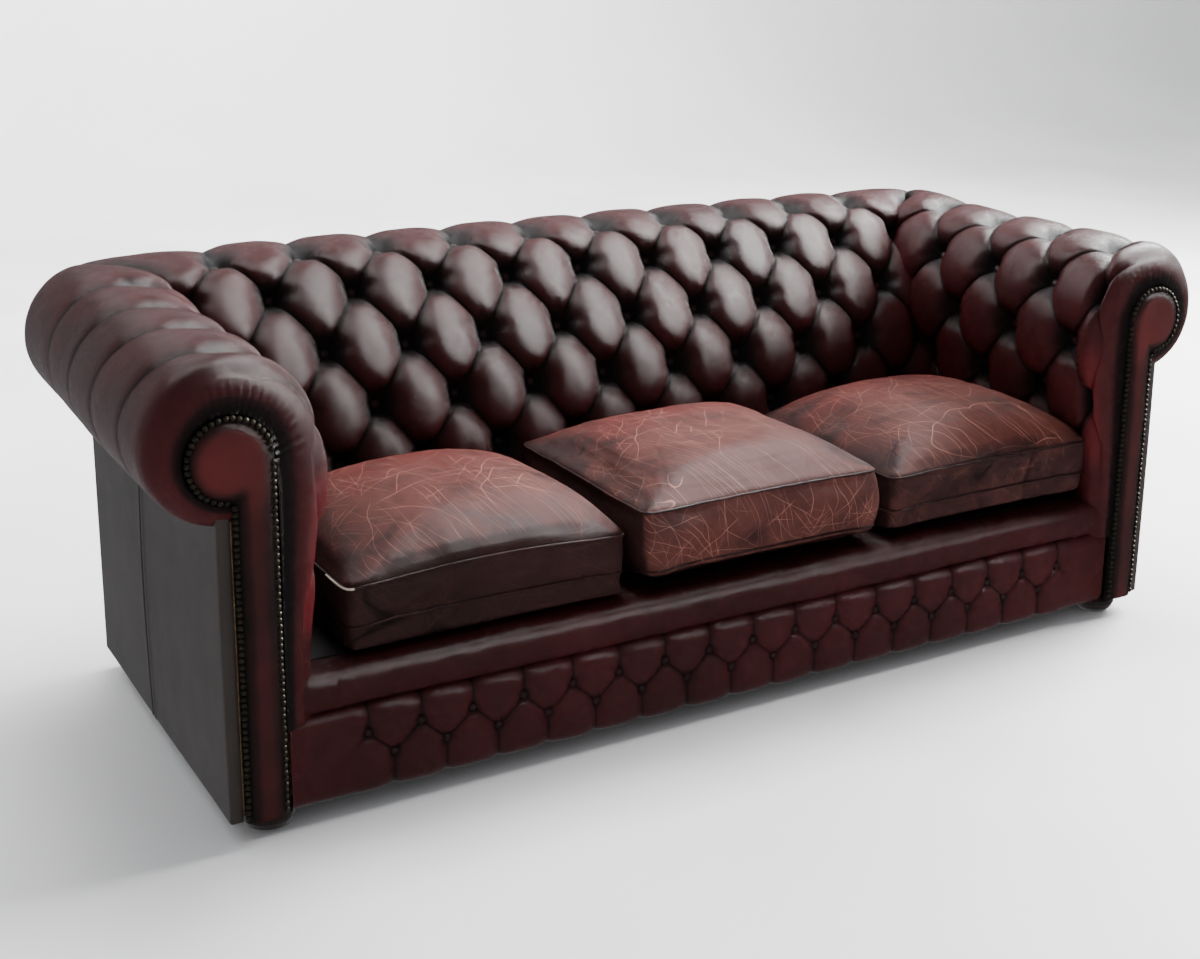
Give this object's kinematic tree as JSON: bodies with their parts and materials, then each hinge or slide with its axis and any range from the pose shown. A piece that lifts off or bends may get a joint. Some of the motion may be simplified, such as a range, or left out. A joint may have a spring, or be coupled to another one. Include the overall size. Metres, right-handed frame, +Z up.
{
  "type": "leather sofa",
  "caption": "Long rolled-arm sofa with deep-buttoned back and arms, scroll facings with nailed edges, a buttoned front border, loose seat cushions and bun feet; for seating in a room.",
  "frame": {"origin": "on the floor, under the middle of the sofa's box", "axes": "+Z up, -Y to the front that a sitter faces, +X to the viewer's right when looking at the front"},
  "size_m": [2.056, 0.874, 0.7503],
  "materials": {
    "oxblood_leather": "worn semi-gloss oxblood leather, rubbed darker in the folds",
    "facing_leather": "padded oxblood leather, red in the middle and dark at the edges",
    "seat_leather": "faded, cracked and scratched oxblood leather with a waxy sheen",
    "panel_leather": "smooth dark brown-red leather",
    "button_leather": "dark leather-covered buttons",
    "nail_brass": "antique dull brass nail heads",
    "seam_thread": "bare pale piping cord and thread",
    "hardwood": "plain sawn hardwood",
    "dark_wood": "dark stained, waxed",
    "bolt_steel": "zinc-plated steel",
    "webbing": "woven elastic webbing",
    "deck_cloth": "dark brown platform cloth",
    "dust_cloth": "black lining cloth"
  },
  "bodies": {
    "root": {"arm_stuff_rail_left": "hardwood", "arm_stuff_rail_right": "hardwood", "arm_top_rail_left": "hardwood", "arm_top_rail_right": "hardwood", "back_post_left": "hardwood", "back_post_right": "hardwood", "back_rail": "hardwood", "back_stuff_rail": "hardwood", "back_top_rail": "hardwood", "back_upright_left": "hardwood", "back_upright_right": "hardwood", "brace_back_left": "hardwood", "brace_back_right": "hardwood", "brace_front_left": "hardwood", "brace_front_right": "hardwood", "cover_arm_left": "oxblood_leather", "cover_arm_right": "oxblood_leather", "cover_back": "oxblood_leather", "cushion_left": "seat_leather", "cushion_middle": "seat_leather", "cushion_right": "seat_leather", "dust_cover": "dust_cloth", "facing_left": "facing_leather", "facing_right": "facing_leather", "foot_back_left": "dark_wood", "foot_back_right": "dark_wood", "foot_bolt_back_left": "bolt_steel", "foot_bolt_back_right": "bolt_steel", "foot_bolt_front_left": "bolt_steel", "foot_bolt_front_right": "bolt_steel", "foot_front_left": "dark_wood", "foot_front_right": "dark_wood", "front_border": "oxblood_leather", "front_lip": "oxblood_leather", "front_post_left": "hardwood", "front_post_right": "hardwood", "front_rail": "hardwood", "outside_arm_left": "panel_leather", "outside_arm_right": "panel_leather", "outside_back": "panel_leather", "seat_deck": "deck_cloth", "seat_strap_1": "webbing", "seat_strap_2": "webbing", "seat_strap_3": "webbing", "seat_strap_4": "webbing", "seat_strap_5": "webbing", "seat_strap_6": "webbing", "seat_strap_7": "webbing", "seat_strap_8": "webbing", "seat_strap_9": "webbing", "seat_stretcher_left": "hardwood", "seat_stretcher_right": "hardwood", "side_rail_left": "hardwood", "side_rail_right": "hardwood"}
  },
  "joints": []
}
